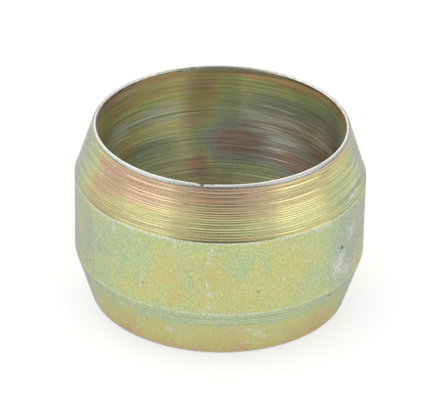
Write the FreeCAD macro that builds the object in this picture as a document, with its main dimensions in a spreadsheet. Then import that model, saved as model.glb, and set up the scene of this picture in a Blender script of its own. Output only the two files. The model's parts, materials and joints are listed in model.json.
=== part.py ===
import FreeCAD, Part
import os
import Sketcher

# Compression olive: a turned steel ring that a compression nut squeezes onto a tube. Its bore is plain,
# its middle is a straight band, and both ends taper down to a thin rounded rim. It stands on its lower
# rim, with the tube's axis along +Z and the origin at the centre of that rim.

# Driving sizes, in millimetres
SIZES = [
    ("tube_diameter", "15.0"),
    ("bore_clearance", "0.1"),
    ("band_wall", "1.35"),
    ("band_length", "5.0"),
    ("taper_length", "3.25"),
    ("rim_width", "0.3"),
    ("rim_nose_radius", "0.2"),
    ("rim_nose_share", "0.7"),
    ("bore_edge_radius", "0.12"),
    ("bore_edge_share", "0.4"),
    ("band_edge_radius", "0.6"),
]

# Two points of the model closer than this are the same point
SAME_PLACE = 1e-6

# The sketch's own axes and its origin, as constraints name them
HORIZONTAL_AXIS = -1
ORIGIN = (-1, 1)

# The ends of a line, as constraints name them
START = 1
END = 2

# The section's sides, in the order they are drawn
FOOT, LOWER_TAPER, BAND, UPPER_TAPER, TOP, BORE = range(6)


def make_sheet(doc):
    """Spreadsheet with one named cell for each driving size."""
    sheet = doc.addObject("Spreadsheet::Sheet", "Sizes")
    for row, (name, value) in enumerate(SIZES, start=1):
        sheet.set(f"A{row}", name)
        sheet.set(f"B{row}", value)
        sheet.setAlias(f"B{row}", name)
    doc.recompute()
    return sheet


def origin_plane(body, role):
    """One of the body's own origin planes."""
    return next(plane for plane in body.Origin.OriginFeatures if plane.Role == role)


def section_corners(sheet):
    """Corners of the wall's section as (radius, height), from the foot's bore edge anticlockwise."""
    bore_radius = (sheet.tube_diameter + sheet.bore_clearance) / 2
    rim_radius = bore_radius + sheet.rim_width
    band_radius = bore_radius + sheet.band_wall
    band_bottom = sheet.taper_length
    band_top = band_bottom + sheet.band_length
    overall_length = band_top + sheet.taper_length
    return [
        (bore_radius, 0),
        (rim_radius, 0),
        (band_radius, band_bottom),
        (band_radius, band_top),
        (rim_radius, overall_length),
        (bore_radius, overall_length),
    ]


def make_section(body, sheet):
    """Section of the wall beside the axis: foot, taper, band, taper, top and bore."""
    section = body.newObject("Sketcher::SketchObject", "WallSection")
    section.AttachmentSupport = [(origin_plane(body, "XZ_Plane"), "")]
    section.MapMode = "FlatFace"

    corners = [FreeCAD.Vector(radius, height, 0) for radius, height in section_corners(sheet)]
    for side, start in enumerate(corners):
        end = corners[(side + 1) % len(corners)]
        section.addGeometry(Part.LineSegment(start, end))
    for side in range(len(corners)):
        following = (side + 1) % len(corners)
        section.addConstraint(Sketcher.Constraint("Coincident", side, END, following, START))
    for side in (FOOT, TOP):
        section.addConstraint(Sketcher.Constraint("Horizontal", side))
    for side in (BAND, BORE):
        section.addConstraint(Sketcher.Constraint("Vertical", side))
    section.addConstraint(Sketcher.Constraint("PointOnObject", FOOT, START, HORIZONTAL_AXIS))

    bore_radius = "(Sizes.tube_diameter + Sizes.bore_clearance) / 2"
    dimensions = [
        ("bore_radius", "DistanceX", ORIGIN, (FOOT, START), bore_radius),
        ("foot_rim_width", "DistanceX", (FOOT, START), (FOOT, END), "Sizes.rim_width"),
        ("lower_taper_length", "DistanceY", (FOOT, END), (BAND, START), "Sizes.taper_length"),
        ("band_radius", "DistanceX", ORIGIN, (BAND, START), bore_radius + " + Sizes.band_wall"),
        ("band_length", "DistanceY", (BAND, START), (BAND, END), "Sizes.band_length"),
        ("upper_taper_length", "DistanceY", (BAND, END), (TOP, START), "Sizes.taper_length"),
        ("top_rim_width", "DistanceX", (TOP, END), (TOP, START), "Sizes.rim_width"),
    ]
    for name, kind, first, second, expression in dimensions:
        points = [FreeCAD.Vector(0, 0, 0) if place == ORIGIN else section.getPoint(*place)
                  for place in (first, second)]
        span = points[1] - points[0]
        value = span.x if kind == "DistanceX" else span.y
        number = section.addConstraint(Sketcher.Constraint(kind, *first, *second, value))
        section.renameConstraint(number, name)
        section.setExpression(f"Constraints.{name}", expression)
    return section


def turn_section(body, section):
    """Full turn of the section about the tube's axis."""
    turned = body.newObject("PartDesign::Revolution", "TurnedRing")
    turned.Profile = section
    turned.ReferenceAxis = (section, ["V_Axis"])
    return turned


def circle_names(shape, circles):
    """Names of the shape's circular edges that lie at these radii and heights."""
    names = []
    for number, edge in enumerate(shape.Edges, start=1):
        curve = edge.Curve
        if not isinstance(curve, Part.Circle):
            continue
        for radius, height in circles:
            same_radius = abs(curve.Radius - radius) < SAME_PLACE
            same_height = abs(curve.Center.z - height) < SAME_PLACE
            if same_radius and same_height:
                names.append(f"Edge{number}")
    return names


def round_circles(doc, body, base, name, circles, radius_expression):
    """Fillet along these circular edges of the feature before it."""
    doc.recompute()
    fillet = body.newObject("PartDesign::Fillet", name)
    fillet.Base = (base, circle_names(base.Shape, circles))
    fillet.setExpression("Radius", radius_expression)
    return fillet


def make_olive(doc, sheet):
    """The olive: a turned ring with rounded rims, eased bore edges and softened band edges."""
    body = doc.addObject("PartDesign::Body", "Olive")
    body.Label = "olive"
    section = make_section(body, sheet)
    ring = turn_section(body, section)

    foot_bore, foot_rim, band_bottom, band_top, top_rim, top_bore = section_corners(sheet)
    rim_nose = "min(Sizes.rim_nose_radius; Sizes.rim_width * Sizes.rim_nose_share)"
    bore_edge = "min(Sizes.bore_edge_radius; Sizes.rim_width * Sizes.bore_edge_share)"
    band_edge = "Sizes.band_edge_radius"
    noses = round_circles(doc, body, ring, "RimNoses", [foot_rim, top_rim], rim_nose)
    eased = round_circles(doc, body, noses, "BoreEdges", [foot_bore, top_bore], bore_edge)
    round_circles(doc, body, eased, "BandEdges", [band_bottom, band_top], band_edge)
    doc.recompute()
    return body


def check_document(doc, bodies):
    """Stops before anything is written if an object failed or a body is not one sound solid."""
    for item in doc.Objects:
        if "Invalid" in item.State or "Error" in item.State:
            raise RuntimeError(f"{item.Label} failed to compute")
    for body in bodies:
        shape = body.Shape
        if shape.isNull() or not shape.isValid() or len(shape.Solids) != 1:
            raise RuntimeError(f"{body.Label} is not one sound solid")


def main():
    doc = FreeCAD.newDocument("CompressionOlive")
    sheet = make_sheet(doc)
    bodies = [make_olive(doc, sheet)]
    check_document(doc, bodies)
    os.makedirs("parts", exist_ok=True)
    for body in bodies:
        body.Shape.exportStep(f"parts/{body.Label}.step")


main()
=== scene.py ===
import json
import math

import bmesh
import bpy
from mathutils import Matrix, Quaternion, Vector, noise


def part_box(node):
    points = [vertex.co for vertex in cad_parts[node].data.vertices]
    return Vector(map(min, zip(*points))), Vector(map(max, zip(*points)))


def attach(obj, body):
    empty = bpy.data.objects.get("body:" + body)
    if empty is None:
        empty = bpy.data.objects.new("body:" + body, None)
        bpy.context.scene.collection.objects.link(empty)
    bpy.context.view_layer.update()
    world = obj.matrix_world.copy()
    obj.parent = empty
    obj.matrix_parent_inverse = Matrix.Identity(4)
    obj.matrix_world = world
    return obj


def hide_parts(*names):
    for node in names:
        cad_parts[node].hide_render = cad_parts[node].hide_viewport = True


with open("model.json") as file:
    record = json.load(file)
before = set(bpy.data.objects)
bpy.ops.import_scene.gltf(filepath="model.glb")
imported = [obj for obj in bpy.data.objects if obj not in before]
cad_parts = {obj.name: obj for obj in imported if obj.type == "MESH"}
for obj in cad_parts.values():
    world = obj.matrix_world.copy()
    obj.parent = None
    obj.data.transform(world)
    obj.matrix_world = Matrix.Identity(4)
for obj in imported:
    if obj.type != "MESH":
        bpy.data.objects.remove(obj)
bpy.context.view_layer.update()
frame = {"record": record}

# A compression olive: one turned ring, zinc plated and yellow passivated, standing on its end.
# Lengths below are in millimetres, angles in degrees. The scene itself is in metres.
MM = 0.001

# The ring's section, as the solid has it
_, NODE_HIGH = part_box("olive")
LENGTH = NODE_HIGH.z / MM
BAND_RADIUS = NODE_HIGH.x / MM
BORE_RADIUS = next(m for m in frame["record"]["mounts"] if m["name"] == "tube_bore")["dims"]["r_mm"]
TAPER_LENGTH = 3.25
RIM_WIDTH = 0.3
NOSE_RADIUS = 0.2
BORE_EDGE_RADIUS = 0.12
BAND_EDGE_RADIUS = 0.6
RIM_RADIUS = BORE_RADIUS + RIM_WIDTH
BAND_BOTTOM = TAPER_LENGTH
BAND_TOP = LENGTH - TAPER_LENGTH
TAPER_ANGLE = math.degrees(math.atan2(BAND_RADIUS - RIM_RADIUS, TAPER_LENGTH))

# How finely the section's roundings and straights are cut, and how many steps its spin takes
NOSE_SEGMENTS = 6
EDGE_SEGMENTS = 4
UPPER_TAPER_STEP = 0.02
LOWER_TAPER_STEP = 0.05
BAND_STEP = 0.3
BORE_STEP = 0.055
SPIN_STEPS = 200
# How near to a straight of the section, or to the bore's wall, a point that lies on it is
ON_STRAIGHT = 0.0001
ON_BORE = 0.001

# How far down the outside the bare metal of the upper rim goes at the front, where it is most rubbed, and the
# share of that which is left at the back. It changes between two shares of the way round to the front.
RIM_DEPTH = 0.19
LEAST_RUBBED = 0.45
RUBBED_FROM = -0.1
RUBBED_FULL = 0.7
# How far up the outside the bare metal of the foot goes
FOOT_DEPTH = 0.1
# How far out over its rounded edges the finish of the bore goes
BORE_EDGE_KEPT = BORE_EDGE_RADIUS / 8

# The photograph's camera: a long lens, a little rolled, aimed at a point beside the tube's axis
CAMERA_LENS = 268.5
CAMERA_SENSOR = 36.0
CAMERA_DISTANCE = 197.64
CAMERA_ELEVATION = 29.4
CAMERA_ROLL = 1.09
CAMERA_NEAR = 10.0
AIM = (-0.238, 0.0, 6.152)

# Surfaces of the ring, in the order of its material slots
UPPER_TAPER, BAND, LOWER_TAPER, BORE, RIM = range(5)

WHITE = "#FFFFFF"


def linear(hex_colour):
    """An sRGB hex colour as linear RGBA."""
    channels = [int(hex_colour[i:i + 2], 16) / 255 for i in (1, 3, 5)]
    return (*(c / 12.92 if c <= 0.04045 else ((c + 0.055) / 1.055) ** 2.4 for c in channels), 1.0)


def add_node(tree, kind, settings=None, inputs=None):
    """Adds a node with these properties, and links or sets each of these inputs."""
    node = tree.nodes.new(kind)
    for name, value in (settings or {}).items():
        setattr(node, name, value)
    for key, value in (inputs or {}).items():
        if isinstance(value, bpy.types.NodeSocket):
            tree.links.new(value, node.inputs[key])
        else:
            node.inputs[key].default_value = value
    return node


def smoothstep(low, high, value):
    """0 up to the first value and 1 from the second, with an even rise between them."""
    share = min(max((value - low) / (high - low), 0.0), 1.0)
    return share * share * (3 - 2 * share)


# Turning marks: the feed of each finishing cut, how deep its marks are, and where in the noise they are read
TAPER_FEED = 0.135
TAPER_MARK_DEPTH = 0.006
TAPER_SEED = 1.3
BORE_FEED = 0.22
BORE_MARK_DEPTH = 0.006
BORE_SEED = 13.6
LOWER_FEED = 0.3
LOWER_MARK_DEPTH = 0.002
LOWER_SEED = 9.4
# Slower waves under the marks: how many feeds long they are, and their share of the marks' depth
TAPER_WAVE = 3.3
TAPER_WAVE_SEED = 5.7
BORE_WAVE = 3.1
BORE_WAVE_SEED = 17.2
WAVE_SHARE = 0.4

# How far a mark's ridges stand up and its valley goes down, for a pass of strength 1
RIDGE = 1.0
VALLEY = 0.5
# The strength of a pass, and its least. It swings along the thread, slowly and quickly: how far, how often in
# a turn, and the layer of the noise that is read for it.
PASS_STRENGTH = 0.6
LEAST_PASS = 0.05
PASS_SWINGS = ((0.9, 0.87, 0.5), (0.7, 13.0, 0.2))

# Cuts that stand out from the rest: their heights, half their width and their depth
TAPER_SCORES = (
    (11.23, 0.025, 0.007), (11.03, 0.035, 0.014), (10.81, 0.025, 0.007), (10.52, 0.03, 0.009),
    (10.35, 0.035, 0.014), (10.1, 0.022, 0.006), (9.91, 0.035, 0.012), (9.78, 0.025, 0.008),
    (9.49, 0.03, 0.009), (9.37, 0.035, 0.013), (9.23, 0.025, 0.007), (8.94, 0.035, 0.013),
    (8.81, 0.035, 0.014), (8.64, 0.025, 0.007), (8.49, 0.03, 0.011), (8.32, 0.04, 0.012),
)
LOWER_SCORES = ((2.94, 0.07, 0.008), (2.7, 0.05, 0.004), (2.45, 0.07, 0.007), (2.2, 0.06, 0.003))
# The depth at which a score gets its full painted shade, and the half widths past which it no longer counts
FULL_SCORE = 0.014
SCORE_REACH = 3
# The strength of a score, its least, how far it swings round the ring, how quickly, and how far apart in the
# noise two scores are read
SCORE_STRENGTH = 0.8
LEAST_SCORE = 0.1
SCORE_SWING = 0.9
SCORE_CHANGE = 3.0
SCORE_SPACING = 5.3

# Heights at which the marks of each surface start, are full, fade and end
TAPER_MARKED = (BAND_TOP, BAND_TOP + 0.1, LENGTH - 0.3, LENGTH - 0.1)
LOWER_MARKED = (0.2, 1.0, BAND_BOTTOM - 0.15, BAND_BOTTOM - 0.03)
BORE_MARKED = (0.1, 0.4, LENGTH - 0.4, LENGTH - 0.1)

# How far the upper taper and its rim are skimmed, which leaves a small step at the band, how far up from
# the band the step goes, and the radii between which the skim dies out on the rim
TAPER_SKIM = 0.035
SKIM_STEP = 0.06
SKIM_RIM = (BORE_RADIUS + 0.02, RIM_RADIUS - 0.05)
# Nicks in the upper rim: their azimuths, half their widths in degrees and their depths
RIM_NICKS = (
    (-8.1, 1.7, 0.06), (-4.6, 1.2, 0.04), (-161.0, 2.2, 0.06), (-166.5, 1.8, 0.05), (152.0, 1.8, 0.04),
)
# How far down from the rim a nick moves the metal
NICK_REACH = 0.3


def feed_mark(height, azimuth, feed, seed):
    """Height of the surface between two passes of the tool: a round valley between sharp ridges.
    The strength runs on along the thread, so that it closes round the ring."""
    passes = height / feed + azimuth / math.tau
    share = passes - math.floor(passes)
    thread = azimuth / math.tau - math.floor(passes)
    strength = PASS_STRENGTH
    for swing, often, layer in PASS_SWINGS:
        strength += swing * noise.noise((thread * often, seed, layer))
    return max(strength, LEAST_PASS) * ((RIDGE + VALLEY) * (2 * share - 1) ** 2 - VALLEY)


def score_mark(height, azimuth, scores):
    """How deep the scored lines are at this place. Each one grows and fades round the ring."""
    depth = 0.0
    for number, (scored, half_width, deep) in enumerate(scores):
        off = (height - scored) / half_width
        if abs(off) < SCORE_REACH:
            around = (math.cos(azimuth) * SCORE_CHANGE, math.sin(azimuth) * SCORE_CHANGE)
            swing = SCORE_SWING * noise.noise((*around, number * SCORE_SPACING))
            strength = max(SCORE_STRENGTH + swing, LEAST_SCORE)
            depth += deep * strength * math.exp(-off * off)
    return depth


def faded(mark, height, marked):
    """A mark that grows in between the first two of these heights and dies out between the last two."""
    start, full, fade, end = marked
    return mark * smoothstep(start, full, height) * smoothstep(end, fade, height)


def upper_taper_mark(height, azimuth):
    """How far the turned upper taper stands out at this place."""
    mark = TAPER_MARK_DEPTH * feed_mark(height, azimuth, TAPER_FEED, TAPER_SEED)
    wave = feed_mark(height, azimuth, TAPER_FEED * TAPER_WAVE, TAPER_WAVE_SEED)
    mark += TAPER_MARK_DEPTH * WAVE_SHARE * wave
    mark -= score_mark(height, azimuth, TAPER_SCORES)
    return faded(mark, height, TAPER_MARKED)


def lower_taper_mark(height, azimuth):
    """How far the lower taper stands out: a few rings under the band, hardly any below."""
    mark = LOWER_MARK_DEPTH * feed_mark(height, azimuth, LOWER_FEED, LOWER_SEED)
    mark -= score_mark(height, azimuth, LOWER_SCORES)
    return faded(mark, height, LOWER_MARKED)


def bore_mark(height, azimuth):
    """How far the bored wall is cut outwards at this place."""
    mark = BORE_MARK_DEPTH * feed_mark(height, azimuth, BORE_FEED, BORE_SEED)
    wave = feed_mark(height, azimuth, BORE_FEED * BORE_WAVE, BORE_WAVE_SEED)
    mark += BORE_MARK_DEPTH * WAVE_SHARE * wave
    return faded(mark, height, BORE_MARKED)


def rim_nick(height, azimuth):
    """How far the upper rim is knocked down at this place."""
    depth = 0.0
    for nicked, half_width, deep in RIM_NICKS:
        off = (math.degrees(azimuth) - nicked) / half_width
        depth = max(depth, deep * math.exp(-off * off))
    return depth * smoothstep(LENGTH - NICK_REACH, LENGTH, height)


def cut_edge(bm, start, end, step):
    """Cuts the straight of the section between two corners into steps of about this length."""
    edges = [e for e in bm.edges if all(on_line(v.co, start, end) for v in e.verts)]
    longest = max(edges, key=lambda e: e.calc_length())
    cuts = max(int(longest.calc_length() / (step * MM)), 1)
    bmesh.ops.subdivide_edges(bm, edges=[longest], cuts=cuts)


def on_line(place, start, end):
    """True if a point of the section lies on the straight between two corners."""
    a, b = (Vector((r * MM, 0, z * MM)) for r, z in (start, end))
    along = (b - a).normalized()
    return ((place - a) - (place - a).dot(along) * along).length < ON_STRAIGHT * MM


def make_olive():
    """The ring: its section as a wire, rounded at its corners, cut fine and spun about the tube's axis."""
    corners = [
        (BORE_RADIUS, 0), (RIM_RADIUS, 0), (BAND_RADIUS, BAND_BOTTOM),
        (BAND_RADIUS, BAND_TOP), (RIM_RADIUS, LENGTH), (BORE_RADIUS, LENGTH),
    ]
    foot_bore, foot_rim, band_bottom, band_top, top_rim, top_bore = range(6)
    bm = bmesh.new()
    points = [bm.verts.new((r * MM, 0, z * MM)) for r, z in corners]
    for start, end in zip(points, points[1:] + points[:1]):
        bm.edges.new((start, end))

    nose_turn = math.radians(90 - TAPER_ANGLE)
    band_turn = math.radians(TAPER_ANGLE)
    roundings = [
        ((foot_rim, top_rim), NOSE_RADIUS * math.tan(nose_turn / 2), NOSE_SEGMENTS),
        ((foot_bore, top_bore), BORE_EDGE_RADIUS, EDGE_SEGMENTS),
        ((band_bottom, band_top), BAND_EDGE_RADIUS * math.tan(band_turn / 2), EDGE_SEGMENTS),
    ]
    for which, reach, segments in roundings:
        bmesh.ops.bevel(bm, geom=[points[i] for i in which], offset=reach * MM, offset_type="OFFSET",
                        segments=segments, profile=0.5, affect="VERTICES", material=-1)

    cut_edge(bm, corners[foot_rim], corners[band_bottom], LOWER_TAPER_STEP)
    cut_edge(bm, corners[band_bottom], corners[band_top], BAND_STEP)
    cut_edge(bm, corners[band_top], corners[top_rim], UPPER_TAPER_STEP)
    cut_edge(bm, corners[foot_bore], corners[top_bore], BORE_STEP)
    bmesh.ops.spin(bm, geom=list(bm.verts) + list(bm.edges), axis=(0, 0, 1), cent=(0, 0, 0),
                   angle=math.tau, steps=SPIN_STEPS, use_merge=True)
    bmesh.ops.recalc_face_normals(bm, faces=bm.faces)

    for face in bm.faces:
        face.smooth = True
        face.material_index = surface_of(face.calc_center_median() / MM)
    turn_marks(bm)

    mesh = bpy.data.meshes.new("olive_ring")
    bm.to_mesh(mesh)
    bm.free()
    olive = bpy.data.objects.new("olive_ring", mesh)
    bpy.context.scene.collection.objects.link(olive)
    return olive


def surface_of(place):
    """Which of the ring's surfaces this point lies on."""
    radius = math.hypot(place.x, place.y)
    if radius < BORE_RADIUS + BORE_EDGE_KEPT:
        return BORE
    rubbed = LEAST_RUBBED + (1 - LEAST_RUBBED) * smoothstep(RUBBED_FROM, RUBBED_FULL, -place.y / radius)
    if place.z < FOOT_DEPTH or place.z > LENGTH - RIM_DEPTH * rubbed:
        return RIM
    if place.z > BAND_TOP:
        return UPPER_TAPER
    if place.z < BAND_BOTTOM:
        return LOWER_TAPER
    return BAND


def turn_marks(bm):
    """Nicks the rim, moves the turned surfaces in and out by their tool marks, and notes how deeply each
    place is scored."""
    slope = math.radians(TAPER_ANGLE)
    scored = bm.verts.layers.float.new("scored")
    for vert in bm.verts:
        radius = math.hypot(vert.co.x, vert.co.y) / MM
        height = vert.co.z / MM
        azimuth = math.atan2(vert.co.x, -vert.co.y)
        outwards = Vector((vert.co.x, vert.co.y, 0)).normalized()
        vert.co.z -= rim_nick(height, azimuth) * MM
        if radius < BORE_RADIUS + ON_BORE:
            vert.co += outwards * bore_mark(height, azimuth) * MM
        elif height > BAND_TOP:
            facing = outwards * math.cos(slope) + Vector((0, 0, math.sin(slope)))
            skim = TAPER_SKIM * smoothstep(BAND_TOP, BAND_TOP + SKIM_STEP, height)
            skim *= smoothstep(*SKIM_RIM, radius)
            vert.co += (facing * upper_taper_mark(height, azimuth) - outwards * skim) * MM
            vert[scored] = score_mark(height, azimuth, TAPER_SCORES) / FULL_SCORE
        elif height < BAND_BOTTOM:
            facing = outwards * math.cos(slope) - Vector((0, 0, math.sin(slope)))
            vert.co += facing * lower_taper_mark(height, azimuth) * MM
            vert[scored] = score_mark(height, azimuth, LOWER_SCORES) / FULL_SCORE


# Yellow-passivated zinc plate. The clear chromate film shows interference colours as it gets thicker:
# buff, silver, blue green, pale green, straw, tan, bronze and brown. Wear goes through it to the bright zinc.
FILM_COLOURS = (
    (0.00, "#C4A690"), (0.08, "#B8B9B1"), (0.18, "#AFBFA8"), (0.31, "#BCCB9C"), (0.45, "#CACC8A"),
    (0.58, "#CFC086"), (0.74, "#CDAC8E"), (0.88, "#D4A678"), (1.00, "#C0A58C"),
)
# Bare zinc, also the colour of painted highlights
BARE_ZINC_AND_HIGHLIGHT = "#E0E0DA"
# Dark pits, also the colour of painted shade
PIT_AND_SHADE_COLOUR = "#34342A"
# Shares of red, green and blue in how light a colour is
LIGHTNESS = (0.2126, 0.7152, 0.0722)

# Sizes of the patterns, round the ring and along it, and their detail. The speckle is drawn coarser than the
# real grain of the plate, which is too fine to show.
PATTERNS = {"drift": (5.0, 5.0, 2.0), "speckle": (0.08, 0.13, 2.0)}
SMEAR_DETAIL = 2.0
FLECK_DETAIL = 3.0
RING_LENGTH = 7.0
RING_DETAIL = 3.0
NOISE_MIDDLE = (0.5, 0.5, 0.5)

# How far the edges of stains wander, round the ring in degrees and along it in millimetres
STAIN_WANDER = (26.0, 2.2)
FINE_WANDER = (8.0, 0.6)
# Where a spot's edge ends and where it is full, in half widths from its middle
STAIN_EDGE = (1.5, 0.25)
WORN_EDGE = (1.4, 0.2)
PIT_EDGE = (1.2, 0.5)
# How much of the film under a stain it replaces
STAIN_COVER = 0.95
# How much of the rings and the speckle goes into the film's thickness
RING_FILM = 0.4
SPECKLE_FILM = 0.2
# How much painted shade darkens a full score against the metal beside it: the shade in its groove
SCORE_PAINTED_SHADE = 0.28
# How much a worn place adds to the flecks, the sums at which bare zinc starts and is full, and the most of it
WORN_SHARE = 0.5
BARE_FROM = 0.68
BARE_FULL = 0.86
MOST_BARE = 0.9
# How far the roughness goes up and down, and the values of the flecks between which it does
ROUGHNESS_SWING = 0.06
DULL_FLECKS = (0.3, 0.7)

# Where azimuth 0 is: at the front for the outside, and at the back for the bore, which is seen there
FROM_FRONT = -1
FROM_BACK = 1
# Sockets of a Mix node, for numbers and for colours
NUMBER_A, NUMBER_B, NUMBER_OUT = 2, 3, 0
COLOUR_A, COLOUR_B, COLOUR_OUT = 6, 7, 2


def film_colour(hex_colour, fade, gain):
    """A colour of the film with this share of it turned to grey, made this much lighter."""
    channels = linear(hex_colour)[:3]
    grey = sum(share * c for share, c in zip(LIGHTNESS, channels))
    return (*(min(gain * (c + fade * (grey - c)), 1.0) for c in channels), 1.0)


def spots(tree, place, rows, edge):
    """One mask for each row of azimuth, height, half width in degrees, half height in millimetres and
    strength: the strength inside the spot, falling to nothing at its edge."""
    outer, inner = edge
    masks = []
    for azimuth, height, wide, tall, strength in rows:
        offset = add_node(tree, "ShaderNodeVectorMath", {"operation": "MULTIPLY_ADD"}, {
            0: place, 1: (1 / wide, 1 / tall, 0), 2: (-azimuth / wide, -height / tall, 0)})
        reach = add_node(tree, "ShaderNodeVectorMath", {"operation": "LENGTH"}, {0: offset.outputs[0]})
        mask = add_node(tree, "ShaderNodeMapRange", {"interpolation_type": "SMOOTHSTEP"}, {
            "Value": reach.outputs["Value"], "From Min": outer, "From Max": inner,
            "To Min": 0.0, "To Max": strength})
        masks.append(mask.outputs[0])
    return masks


def deepest(tree, masks):
    """The largest of several masks at each place."""
    most = masks[0]
    for mask in masks[1:]:
        most = add_node(tree, "ShaderNodeMath", {"operation": "MAXIMUM"}, {0: most, 1: mask}).outputs[0]
    return most


def passivated_zinc(name, film, drift, smear, rings, speckle, roughness, grain, stains, worn_and_highlights, pits_and_shade,
                    smear_size, fleck_size, ring_pitch, fade=0.0, gain=(1.0, 1.0), wander=1.0,
                    facing=FROM_FRONT, grazing=WHITE):
    """A zinc finish with a film about this thick. It drifts, is smeared one way, and has rings and speckle.
    Stains are rows of azimuth, height, half width, half height and film thickness. Worn places and pits
    have how worn or dark they are instead; some worn places are painted highlights and some pits painted
    shade. Sizes of patterns are round the ring and along it. Fade is the share of each colour that is grey,
    the gain is at the ring's foot and at its top, which in the bore paints shade that darkens it further in,
    and wander is how far the edges of stains go. The film's colour shifts to the grazing tint where it is
    seen edge on."""
    material = bpy.data.materials.new(name)
    material.use_nodes = True
    tree = material.node_tree
    shader = tree.nodes["Principled BSDF"]

    metres = add_node(tree, "ShaderNodeTexCoord").outputs["Object"]
    place = add_node(tree, "ShaderNodeVectorMath", {"operation": "SCALE"}, {
        0: metres, "Scale": 1 / MM}).outputs[0]
    sizes = dict(PATTERNS)
    sizes["smear"] = (*smear_size, SMEAR_DETAIL)
    sizes["flecks"] = (*fleck_size, FLECK_DETAIL)
    sizes["rings"] = (RING_LENGTH, ring_pitch, RING_DETAIL)
    patterns = {}
    for pattern, (around, along, detail) in sizes.items():
        sized = add_node(tree, "ShaderNodeVectorMath", {"operation": "MULTIPLY"}, {
            0: place, 1: (1 / around, 1 / around, 1 / along)})
        patterns[pattern] = add_node(tree, "ShaderNodeTexNoise", inputs={
            "Vector": sized.outputs[0], "Scale": 1.0, "Detail": detail})

    # The surface unrolled: azimuth in degrees and height in millimetres
    axes = add_node(tree, "ShaderNodeSeparateXYZ", inputs={0: place}).outputs
    ahead = add_node(tree, "ShaderNodeMath", {"operation": "MULTIPLY"}, {0: axes["Y"], 1: facing})
    turn = add_node(tree, "ShaderNodeMath", {"operation": "ARCTAN2"}, {0: axes["X"], 1: ahead.outputs[0]})
    azimuth = add_node(tree, "ShaderNodeMath", {"operation": "DEGREES"}, {0: turn.outputs[0]})
    unrolled = add_node(tree, "ShaderNodeCombineXYZ", inputs={
        "X": azimuth.outputs[0], "Y": axes["Z"]}).outputs[0]
    wandering = unrolled
    for pattern, (wide, tall) in (("smear", STAIN_WANDER), ("flecks", FINE_WANDER)):
        about_middle = add_node(tree, "ShaderNodeVectorMath", {"operation": "SUBTRACT"}, {
            0: patterns[pattern].outputs["Color"], 1: NOISE_MIDDLE})
        wandering = add_node(tree, "ShaderNodeVectorMath", {"operation": "MULTIPLY_ADD"}, {
            0: about_middle.outputs[0], 1: (wide * wander, tall * wander, 0), 2: wandering}).outputs[0]

    # Film thickness: an uneven ground, then stains, then smears, rings and speckle
    thickness = add_node(tree, "ShaderNodeMath", {"operation": "MULTIPLY_ADD"}, {
        0: patterns["drift"].outputs["Fac"], 1: drift, 2: film - drift / 2}).outputs[0]
    covers = spots(tree, wandering, [(*stain[:-1], STAIN_COVER) for stain in stains], STAIN_EDGE)
    for cover, stain in zip(covers, stains):
        thickness = add_node(tree, "ShaderNodeMix", {"data_type": "FLOAT"}, {
            "Factor": cover, NUMBER_A: thickness, NUMBER_B: stain[-1]}).outputs[NUMBER_OUT]
    unevenness = {"smear": smear, "rings": rings * RING_FILM, "speckle": speckle * SPECKLE_FILM}
    for pattern, strength in unevenness.items():
        varied = add_node(tree, "ShaderNodeMath", {"operation": "MULTIPLY_ADD"}, {
            0: patterns[pattern].outputs["Fac"], 1: strength, 2: -strength / 2})
        thickness = add_node(tree, "ShaderNodeMath", {"operation": "ADD"}, {
            0: thickness, 1: varied.outputs[0]}).outputs[0]
    colours = add_node(tree, "ShaderNodeValToRGB", inputs={"Fac": thickness})
    stops = colours.color_ramp.elements
    for position, _ in FILM_COLOURS[1:-1]:
        stops.new(position)
    for stop, (_, hex_colour) in zip(stops, FILM_COLOURS):
        stop.color = film_colour(hex_colour, fade, max(gain))

    # Light and dark: the change from foot to top, which in the bore is painted shade that darkens it further
    # in, the speckle, the tool's rings, and painted shade in the scores
    at_foot, at_top = (end / max(gain) - speckle / 2 - rings for end in gain)
    shade = add_node(tree, "ShaderNodeMapRange", inputs={
        "Value": axes["Z"], "From Min": 0.0, "From Max": LENGTH, "To Min": at_foot, "To Max": at_top})
    for pattern, strength in (("speckle", speckle), ("rings", rings * 2)):
        shade = add_node(tree, "ShaderNodeMath", {"operation": "MULTIPLY_ADD"}, {
            0: patterns[pattern].outputs["Fac"], 1: strength, 2: shade.outputs[0]})
    # Painted shade: each score's groove is darkened by its depth
    scores = add_node(tree, "ShaderNodeAttribute", {"attribute_name": "scored"})
    shade = add_node(tree, "ShaderNodeMath", {"operation": "MULTIPLY_ADD"}, {
        0: scores.outputs["Fac"], 1: -SCORE_PAINTED_SHADE, 2: shade.outputs[0]})
    shaded = add_node(tree, "ShaderNodeMix", {"data_type": "RGBA", "blend_type": "MULTIPLY"}, {
        "Factor": 1.0, COLOUR_A: colours.outputs[0], COLOUR_B: shade.outputs[0]})

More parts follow.
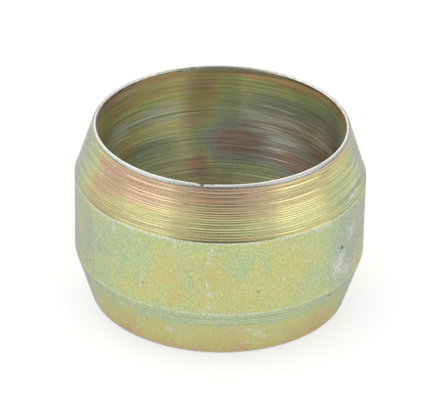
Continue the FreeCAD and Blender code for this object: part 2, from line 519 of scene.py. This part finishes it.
    # Worn places, broken up by flecks so that the film comes off in specks, and then the pits; some worn
    # places are painted highlights and some pits painted shade
    rubbed = deepest(tree, spots(tree, unrolled, worn_and_highlights, WORN_EDGE))
    broken = add_node(tree, "ShaderNodeMath", {"operation": "MULTIPLY_ADD"}, {
        0: rubbed, 1: WORN_SHARE, 2: patterns["flecks"].outputs["Fac"]})
    bare = add_node(tree, "ShaderNodeMapRange", {"interpolation_type": "SMOOTHSTEP"}, {
        "Value": broken.outputs[0], "From Min": BARE_FROM, "From Max": BARE_FULL,
        "To Min": 0.0, "To Max": MOST_BARE})
    metal = add_node(tree, "ShaderNodeMix", {"data_type": "RGBA"}, {
        "Factor": bare.outputs[0], COLOUR_A: shaded.outputs[COLOUR_OUT],
        COLOUR_B: film_colour(BARE_ZINC_AND_HIGHLIGHT, 0.0, max(gain))})
    dark = deepest(tree, spots(tree, unrolled, pits_and_shade, PIT_EDGE))
    pitted_and_shaded = add_node(tree, "ShaderNodeMix", {"data_type": "RGBA"}, {
        "Factor": dark, COLOUR_A: metal.outputs[COLOUR_OUT], COLOUR_B: linear(PIT_AND_SHADE_COLOUR)})
    tree.links.new(pitted_and_shaded.outputs[COLOUR_OUT], shader.inputs["Base Color"])

    # Gloss: a little uneven with the flecks, over the grain of the plate
    dull_from, dull_full = DULL_FLECKS
    dulled = add_node(tree, "ShaderNodeMapRange", inputs={
        "Value": patterns["flecks"].outputs["Fac"], "From Min": dull_from, "From Max": dull_full,
        "To Min": roughness - ROUGHNESS_SWING, "To Max": roughness + ROUGHNESS_SWING})
    tree.links.new(dulled.outputs[0], shader.inputs["Roughness"])
    pebbled = add_node(tree, "ShaderNodeBump", inputs={
        "Strength": 1.0, "Distance": grain * MM, "Height": patterns["speckle"].outputs["Fac"]})
    tree.links.new(pebbled.outputs[0], shader.inputs["Normal"])
    shader.inputs["Metallic"].default_value = 1.0
    shader.inputs["Specular Tint"].default_value = linear(grazing)
    return material


# Half the width of a spot that goes all round the ring
ALL_ROUND = 900

# Stains, worn places and pits of each surface, as rows of azimuth, height, half width in degrees and half
# height, with the film's thickness in a stain, how worn a worn place is and how dark a pit is. Some worn
# places are painted highlights, and some pits and stains painted shade, as said at their tables.
# Stains and painted shade: the rows at -84 and 84 degrees give the film at the far left and right a greyer,
# darker tone as painted shade for the dimmer light there
TAPER_STAINS_AND_SHADE = (
    (-84, 10.0, 13, 3.0, 0.22), (-69, 9.8, 7, 2.5, 0.34), (-54, 10.4, 9, 1.1, 0.74),
    (-59, 9.3, 9, 0.8, 0.68), (-54, 8.6, 12, 0.45, 0.60), (-36, 10.4, 18, 1.1, 0.74),
    (-33, 8.9, 17, 0.7, 0.52), (4, 10.5, 30, 1.1, 0.71), (0, 8.9, 24, 0.7, 0.50),
    (13, 8.9, 9, 0.35, 0.40), (33, 10.6, 15, 0.8, 0.58), (34, 9.0, 15, 0.9, 0.50),
    (51, 10.4, 7, 1.2, 0.55), (60, 9.4, 10, 1.6, 0.35), (64, 8.7, 10, 0.5, 0.31),
    (-8, 11.2, 52, 0.3, 0.72), (62, 11.2, 22, 0.2, 0.63), (84, 9.8, 14, 3.0, 0.2),
    (125, 10.0, 26, 1.6, 0.70), (-130, 9.4, 30, 1.8, 0.38), (172, 9.8, 20, 2.0, 0.46),
)
TAPER_WORN = (
    (69, 9.2, 8, 0.5, 0.46), (67, 8.65, 10, 0.25, 0.46), (74, 9.9, 6, 0.8, 0.4),
    (-59, 10.1, 2, 0.25, 0.5), (78, 9.6, 8, 1.8, 0.4), (-80, 10.0, 9, 2.5, 0.36),
    (-120, 9.0, 8, 0.5, 0.4),
)
# Pits and painted shade: the two long rows just above the band, at 8.29 and 8.31 mm, are painted shade in the
# corner of the skimmed step; the others are small pits
TAPER_PITS_AND_SHADE = (
    (-14, 10.3, 1.2, 0.06, 0.3), (2, 8.31, 22, 0.06, 0.45), (0, 8.29, 60, 0.07, 0.42),
    (-60, 8.9, 0.6, 0.06, 0.4),
)

BAND_STAINS = (
    (16, 5.8, 28, 3.0, 0.44), (-48, 6.0, 12, 3.0, 0.29), (-86, 6.4, 14, 2.4, 0.12),
    (-80, 4.5, 9, 1.6, 0.16), (-62, 5.8, 7, 2.6, 0.20), (-40, 4.4, 5, 0.9, 0.45),
    (-26, 4.2, 10, 0.8, 0.43), (-20, 5.4, 6, 1.8, 0.52), (-17, 4.4, 4, 0.7, 0.58),
    (-2, 5.9, 5, 0.9, 0.52), (1, 4.2, 12, 0.7, 0.46), (10, 6.6, 8, 1.0, 0.31),
    (22, 5.0, 6, 1.6, 0.45), (29, 6.0, 8, 1.0, 0.46), (40, 4.6, 9, 1.0, 0.31),
    (60, 5.9, 13, 3.4, 0.16), (82, 6.6, 12, 2.0, 0.12), (88, 4.8, 12, 1.6, 0.16),
    (120, 5.6, 12, 2.6, 0.46), (150, 6.2, 10, 1.8, 0.20), (-125, 5.4, 16, 2.4, 0.46),
    (-158, 5.8, 9, 2.2, 0.52),
)
BAND_WORN = (
    (0, 8.18, ALL_ROUND, 0.11, 0.56), (-18, 8.12, 14, 0.15, 0.5), (14, 8.12, 9, 0.15, 0.5),
    (-50, 8.1, 9, 0.2, 0.5), (43, 8.05, 8, 0.3, 0.46), (0, 3.32, ALL_ROUND, 0.09, 0.54),
    (-10, 3.36, 24, 0.12, 0.5), (-45, 7.75, 1.6, 0.5, 0.55), (-17, 7.8, 1.0, 0.5, 0.5),
    (-3, 7.6, 2.0, 0.9, 0.45), (37, 7.0, 2.0, 0.7, 0.4), (-4, 3.9, 1.5, 0.7, 0.5),
    (-3.6, 6.9, 1.2, 0.3, 0.46), (-4.2, 5.4, 1.6, 0.35, 0.46), (-3.4, 4.7, 2.0, 0.3, 0.46),
    (-31, 4.9, 1.6, 0.8, 0.5), (54, 4.7, 5, 1.1, 0.67), (59, 4.2, 7, 0.7, 0.56),
    (57, 5.3, 3, 0.5, 0.54), (63, 6.5, 5, 0.8, 0.52), (26, 5.4, 1.2, 0.5, 0.5),
    (51, 4.9, 2.5, 0.8, 0.5), (66, 4.0, 5, 0.3, 0.45), (36, 6.2, 3, 0.3, 0.38),
    (-44, 5.6, 3, 1.2, 0.28), (33, 5.2, 1.0, 0.8, 0.3), (140, 4.6, 6, 0.8, 0.6),
    (-150, 6.8, 3, 0.8, 0.5), (172, 5.6, 2, 1.2, 0.4),
)
BAND_PITS = (
    (56, 5.85, 0.9, 0.12, 0.95), (-61, 4.25, 0.6, 0.1, 0.7), (15.6, 4.8, 0.4, 0.12, 0.5),
    (-30.5, 4.77, 0.5, 0.15, 0.5), (-53, 5.7, 0.5, 0.08, 0.5), (128, 6.6, 0.8, 0.1, 0.8),
)

LOWER_STAINS = (
    (0, 2.9, ALL_ROUND, 0.75, 0.28), (0, 0.1, ALL_ROUND, 0.5, 0.64), (-76, 1.6, 14, 3.0, 0.14),
    (76, 1.6, 16, 3.0, 0.14), (-2, 0.8, 16, 0.6, 0.56), (-40, 1.0, 14, 0.7, 0.53),
    (48, 0.9, 12, 0.6, 0.56),
)
LOWER_WORN = (
    (0, 2.82, ALL_ROUND, 0.05, 0.48), (0, 2.57, ALL_ROUND, 0.05, 0.47), (0, 3.05, ALL_ROUND, 0.04, 0.42),
    (-20, 1.7, 2.5, 0.35, 0.56), (12, 1.95, 7, 0.2, 0.47), (17, 1.6, 4, 0.45, 0.53),
    (20, 1.2, 5, 0.2, 0.48), (14, 0.9, 4, 0.15, 0.42), (27, 1.0, 2, 0.12, 0.44),
    (-8, 1.9, 3, 0.06, 0.4), (-14, 2.2, 8, 0.05, 0.38), (8, 2.3, 10, 0.05, 0.4),
    (0, 0.12, ALL_ROUND, 0.08, 0.42), (-140, 1.4, 5, 0.4, 0.5), (130, 1.8, 4, 0.4, 0.45),
)
LOWER_PITS = ((50, 2.95, 1.5, 0.12, 0.4), (-30, 2.1, 0.5, 0.08, 0.4))

BORE_STAINS = (
    (0, 11.17, ALL_ROUND, 0.42, 0.79), (-50, 10.2, 50, 0.6, 0.60), (25, 10.0, 30, 0.6, 0.36),
    (-36, 6.3, 22, 1.3, 0.34), (-34, 4.6, 24, 1.2, 0.36), (-33, 8.7, 22, 1.0, 0.34),
    (-62, 8.2, 9, 1.2, 0.36), (-10, 7.5, 10, 6.0, 0.6), (-4, 10.1, 13, 0.7, 0.72),
    (3, 9.0, 6, 2.0, 0.30), (26, 8.0, 20, 1.9, 0.04), (60, 7.6, 24, 2.8, -0.08),
    (38, 5.5, 20, 1.3, -0.05), (6, 6.2, 20, 1.6, -0.03), (-10, 4.7, 5, 1.0, 0.84),
    (11, 4.2, 14, 0.9, 0.33), (-55, 6.6, 6, 1.0, 0.60), (120, 7.0, 25, 3.0, 0.34),
    (-130, 6.0, 25, 3.0, 0.58),
)
# Worn places and painted highlights: the broad light patches and thin light streaks at the left and right of
# the bore are painted highlights, where light catches along the turned rings
BORE_WEAR_AND_HIGHLIGHTS = (
    (-33, 8.7, 20, 1.1, 0.55), (26, 8.0, 24, 1.6, 0.38), (58, 8.3, 14, 1.4, 0.58),
    (-58, 8.4, 12, 1.4, 0.55), (28, 6.5, 14, 0.8, 0.42), (5, 11.36, 30, 0.22, 0.9),
    (-30, 8.3, 26, 0.05, 0.72), (-30, 8.9, 24, 0.04, 0.7), (-36, 8.55, 20, 0.035, 0.66),
    (-28, 8.05, 20, 0.06, 0.7), (-26, 6.85, 24, 0.05, 0.62), (-30, 6.35, 18, 0.05, 0.6),
    (-24, 7.4, 20, 0.04, 0.58), (-28, 9.1, 18, 0.07, 0.6), (38, 8.5, 30, 0.05, 0.66),
    (40, 8.1, 22, 0.05, 0.58), (44, 7.75, 18, 0.04, 0.6), (36, 8.8, 24, 0.04, 0.58),
    (30, 9.0, 22, 0.06, 0.55), (32, 6.9, 16, 0.07, 0.7), (28, 6.2, 14, 0.04, 0.52),
    (30, 5.4, 14, 0.06, 0.55), (-45, 11.1, 30, 0.04, 0.5), (-40, 10.85, 26, 0.04, 0.46),
    (40, 10.95, 30, 0.04, 0.5), (46, 10.55, 25, 0.05, 0.46), (-52, 10.4, 26, 0.05, 0.44),
    (-44, 9.5, 30, 0.05, 0.5), (52, 9.6, 24, 0.05, 0.48), (56, 7.4, 16, 0.06, 0.45),
    (-50, 7.6, 20, 0.05, 0.48),
)
# Pits and painted shade: the tall rows from 4 to 10 mm, the dark middle and the dim patches lower in the
# bore, are painted shade; the small rows at the top edge are dark pits and nicks
BORE_PITS_AND_SHADE = (
    (0, 11.42, ALL_ROUND, 0.07, 0.62), (-20.5, 11.41, 3.0, 0.09, 0.8), (-13.5, 11.43, 2.0, 0.07, 0.8),
    (-47, 11.4, 2.5, 0.09, 0.8), (-56, 11.39, 3.0, 0.1, 0.8), (38, 11.38, 20, 0.13, 0.74),
    (-66, 11.4, 15, 0.09, 0.7), (5, 11.3, 30, 0.25, 0.5), (-3, 8.0, 17, 9.0, 0.39),
    (5, 6.0, 22, 2.4, 0.41), (26, 9.6, 30, 1.5, 0.24), (-18, 4.2, 44, 2.0, 0.24),
    (-38, 5.4, 24, 1.8, 0.32),
)

RIM_STAINS = ((-150, 11.5, 20, 0.5, 0.12),)
# Worn places and painted highlights: the thin bright strip along the top and the bright patches at the back
# left and right are painted highlights; the strip at the foot is wear
RIM_WEAR_AND_HIGHLIGHTS = (
    (0, 11.5, ALL_ROUND, 0.012, 0.9), (0, 0, ALL_ROUND, 0.012, 0.9), (-128, 11.5, 28, 0.14, 0.8),
    (128, 11.5, 28, 0.14, 0.8),
)
# Nicks and painted shade: the dull patch at the front, the grey line at 11.32 mm all round under the
# highlight and the grey at the back middle are painted shade; the small rows are nicks
RIM_PITS_AND_SHADE = (
    (-8, 11.43, 1.2, 0.06, 0.8), (-5.5, 11.4, 0.8, 0.04, 0.6), (-2, 11.4, 26, 0.6, 0.2),
    (-128, 11.45, 44, 0.4, 0.18), (128, 11.45, 44, 0.4, 0.18), (0, 11.32, ALL_ROUND, 0.11, 0.28),
    (-166, 11.45, 2.0, 0.1, 0.7), (-161, 11.42, 3.0, 0.1, 0.6), (-172, 11.45, 22, 0.3, 0.35),
    (172, 11.45, 22, 0.3, 0.35),
)


def finish_olive(olive):
    """Gives each surface of the ring its own finish, in the order of their slots."""
    finishes = {
        # Zinc on a taper turned with an open feed: glossy, with bright and dark rings, straw to rose
        UPPER_TAPER: passivated_zinc(
            "turned_passivated_zinc", film=0.52, drift=0.25, smear=0.25, rings=0.35, speckle=0.5,
            roughness=0.2, grain=0.004, smear_size=(4.0, 0.5), fleck_size=(1.2, 0.07), ring_pitch=0.07,
            fade=0.1, gain=(0.93, 0.93), wander=0.3, grazing="#DCD2D2",
            stains=TAPER_STAINS_AND_SHADE, worn_and_highlights=TAPER_WORN, pits_and_shade=TAPER_PITS_AND_SHADE,
        ),
        # Zinc on drawn bar that no tool has touched: satin, grainy, pale green to straw, with white scuffs
        BAND: passivated_zinc(
            "drawn_passivated_zinc", film=0.34, drift=0.16, smear=0.2, rings=0.0, speckle=0.85,
            roughness=0.42, grain=0.009, smear_size=(0.5, 1.4), fleck_size=(0.09, 0.16), ring_pitch=0.1,
            gain=(0.9, 0.9), grazing="#F2DBE4",
            stains=BAND_STAINS, worn_and_highlights=BAND_WORN, pits_and_shade=BAND_PITS,
        ),
        # Zinc on a taper turned smooth: satin, blue green under the band and straw at the foot
        LOWER_TAPER: passivated_zinc(
            "smooth_passivated_zinc", film=0.48, drift=0.2, smear=0.2, rings=0.08, speckle=0.6,
            roughness=0.4, grain=0.012, smear_size=(0.9, 3.0), fleck_size=(0.2, 0.1), ring_pitch=0.15,
            fade=0.05, gain=(0.92, 0.92), grazing="#E8DEE0",
            stains=LOWER_STAINS, worn_and_highlights=LOWER_WORN, pits_and_shade=LOWER_PITS,
        ),
        # Zinc on a bored wall: streaks round the tube, olive to brown, with painted shade that darkens it
        # further in, painted highlights in its light streaks at the sides and painted shade in its dark
        # middle
        BORE: passivated_zinc(
            "bored_passivated_zinc", film=0.46, drift=0.2, smear=0.2, rings=0.45, speckle=0.35,
            roughness=0.36, grain=0.006, smear_size=(4.0, 0.9), fleck_size=(3.0, 0.07), ring_pitch=0.14,
            fade=0.22, gain=(0.26, 1.65), wander=0.6, facing=FROM_BACK,
            stains=BORE_STAINS, worn_and_highlights=BORE_WEAR_AND_HIGHLIGHTS, pits_and_shade=BORE_PITS_AND_SHADE,
        ),
        # Zinc on the rims, rubbed bare: bright, rough and grey, with dark grains, a painted highlight along
        # the top and painted shade beside it
        RIM: passivated_zinc(
            "rubbed_bare_zinc", film=0.08, drift=0.1, smear=0.1, rings=0.0, speckle=1.0,
            roughness=0.16, grain=0.014, smear_size=(1.0, 1.0), fleck_size=(0.3, 0.2), ring_pitch=0.1,
            fade=0.3, gain=(0.92, 0.92),
            stains=RIM_STAINS, worn_and_highlights=RIM_WEAR_AND_HIGHLIGHTS, pits_and_shade=RIM_PITS_AND_SHADE,
        ),
    }
    for surface in sorted(finishes):
        olive.data.materials.append(finishes[surface])


# The table top: its reach from the middle, its finish, and how much of its white is its own where the camera
# or the metal sees it, outside the ring and inside, which lightens the ring's shadow
TABLE_REACH = 800.0
TABLE_WHITE = "#F6F6F4"
TABLE_ROUGHNESS = 0.9
TABLE_SPECULAR = 0.1
TABLE_GLOW = 0.6
BORE_GLOW = 0.18


def make_floor():
    """A plain white table top, matt enough to show only the ring's shadow."""
    bm = bmesh.new()
    bmesh.ops.create_grid(bm, x_segments=1, y_segments=1, size=TABLE_REACH * MM)
    mesh = bpy.data.meshes.new("floor")
    bm.to_mesh(mesh)
    bm.free()
    floor = bpy.data.objects.new("floor", mesh)
    bpy.context.scene.collection.objects.link(floor)
    material = bpy.data.materials.new("white_table_top")
    material.use_nodes = True
    tree = material.node_tree
    shader = tree.nodes["Principled BSDF"]
    shader.inputs["Base Color"].default_value = linear(TABLE_WHITE)
    shader.inputs["Roughness"].default_value = TABLE_ROUGHNESS
    shader.inputs["Specular IOR Level"].default_value = TABLE_SPECULAR
    rays = add_node(tree, "ShaderNodeLightPath").outputs
    seen = rays["Is Camera Ray"]
    for ray in ("Is Glossy Ray", "Is Transmission Ray"):
        seen = add_node(tree, "ShaderNodeMath", {"operation": "MAXIMUM"}, {0: seen, 1: rays[ray]}).outputs[0]
    place = add_node(tree, "ShaderNodeTexCoord").outputs["Object"]
    reach = add_node(tree, "ShaderNodeVectorMath", {"operation": "LENGTH"}, {0: place})
    outside = add_node(tree, "ShaderNodeMapRange", inputs={
        "Value": reach.outputs["Value"], "From Min": BORE_RADIUS * MM, "From Max": RIM_RADIUS * MM,
        "To Min": BORE_GLOW, "To Max": TABLE_GLOW})
    glow = add_node(tree, "ShaderNodeMath", {"operation": "MULTIPLY"}, {0: seen, 1: outside.outputs[0]})
    white = add_node(tree, "ShaderNodeEmission", inputs={"Color": linear(WHITE), "Strength": 1.0})
    mixed = add_node(tree, "ShaderNodeMixShader", inputs={
        0: glow.outputs[0], 1: shader.outputs[0], 2: white.outputs[0]})
    tree.links.new(mixed.outputs[0], tree.nodes["Material Output"].inputs["Surface"])
    mesh.materials.append(material)


# Light: a pale sky, and a soft box to the left and right. The sky is brightest where a direction rises by
# this share of its length or more.
SKY_HORIZON = 0.65
SKY_ZENITH = 1.4
ZENITH_FROM = 0.9
# Parts of the sky that are dimmer, about the camera, or brighter, behind the ring to the left: their azimuth
# and elevation, the cosines of the angles between which they fade in, and their factor
SKY_PATCHES = ((0.0, CAMERA_ELEVATION, 0.86, 0.975, 0.38), (-140.0, 40.0, 0.4, 0.9, 1.35))
BOX_DISTANCE = 260.0
LEFT_BOX_AZIMUTH = -60.5
RIGHT_BOX_AZIMUTH = 67.0
BOX_WIDTH = 218.0
BOX_HEIGHT = 120.0
BOX_FOOT = 44.0
BOX_POWER = 0.104


def towards(azimuth, elevation):
    """The direction at this azimuth from the front and this elevation above the table top."""
    turn = math.radians(azimuth)
    rise = math.radians(elevation)
    return Vector((math.sin(turn) * math.cos(rise), -math.cos(turn) * math.cos(rise), math.sin(rise)))


def make_world():
    """The sky: white, brighter overhead, with its dimmer and brighter parts."""
    world = bpy.data.worlds.new("studio")
    bpy.context.scene.world = world
    world.use_nodes = True
    tree = world.node_tree
    direction = add_node(tree, "ShaderNodeTexCoord").outputs["Generated"]
    parts = add_node(tree, "ShaderNodeSeparateXYZ", inputs={0: direction})
    sky = add_node(tree, "ShaderNodeMapRange", inputs={
        "Value": parts.outputs["Z"], "From Min": 0.0, "From Max": ZENITH_FROM,
        "To Min": SKY_HORIZON, "To Max": SKY_ZENITH})
    strength = sky.outputs[0]
    for azimuth, elevation, start, full, factor in SKY_PATCHES:
        near = add_node(tree, "ShaderNodeVectorMath", {"operation": "DOT_PRODUCT"}, {
            0: direction, 1: towards(azimuth, elevation)})
        patch = add_node(tree, "ShaderNodeMapRange", {"interpolation_type": "SMOOTHSTEP"}, {
            "Value": near.outputs["Value"], "From Min": start, "From Max": full,
            "To Min": 1.0, "To Max": factor})
        strength = add_node(tree, "ShaderNodeMath", {"operation": "MULTIPLY"}, {
            0: strength, 1: patch.outputs[0]}).outputs[0]
    background = tree.nodes["Background"]
    tree.links.new(strength, background.inputs["Strength"])
    background.inputs["Color"].default_value = linear(WHITE)


def make_soft_box(name, azimuth):
    """A soft box standing a little above the table top to one side, turned to the ring."""
    light = bpy.data.lights.new(name, "AREA")
    light.shape = "RECTANGLE"
    light.size = BOX_WIDTH * MM
    light.size_y = BOX_HEIGHT * MM
    light.energy = BOX_POWER
    lamp = bpy.data.objects.new(name, light)
    bpy.context.scene.collection.objects.link(lamp)
    lamp.location = towards(azimuth, 0) * BOX_DISTANCE * MM
    lamp.location.z = (BOX_HEIGHT / 2 + BOX_FOOT) * MM
    aim = Vector((0, 0, LENGTH / 2 * MM))
    lamp.rotation_mode = "QUATERNION"
    lamp.rotation_quaternion = (aim - lamp.location).to_track_quat("-Z", "Y")


def make_camera():
    """The photograph's view: from the front, looking down into the bore."""
    data = bpy.data.cameras.new("camera")
    data.lens = CAMERA_LENS
    data.sensor_width = CAMERA_SENSOR
    data.clip_start = CAMERA_NEAR * MM
    camera = bpy.data.objects.new("camera", data)
    bpy.context.scene.collection.objects.link(camera)
    back = towards(0, CAMERA_ELEVATION)
    camera.location = (Vector(AIM) + back * CAMERA_DISTANCE) * MM
    camera.rotation_mode = "QUATERNION"
    roll = Quaternion((0, 0, 1), math.radians(CAMERA_ROLL))
    camera.rotation_quaternion = (-back).to_track_quat("-Z", "Y") @ roll
    bpy.context.scene.camera = camera


olive = make_olive()
finish_olive(olive)
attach(olive, "root")
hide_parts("olive")

make_floor()
make_world()
make_soft_box("left_soft_box", LEFT_BOX_AZIMUTH)
make_soft_box("right_soft_box", RIGHT_BOX_AZIMUTH)
make_camera()
bpy.context.scene.view_settings.view_transform = "Standard"
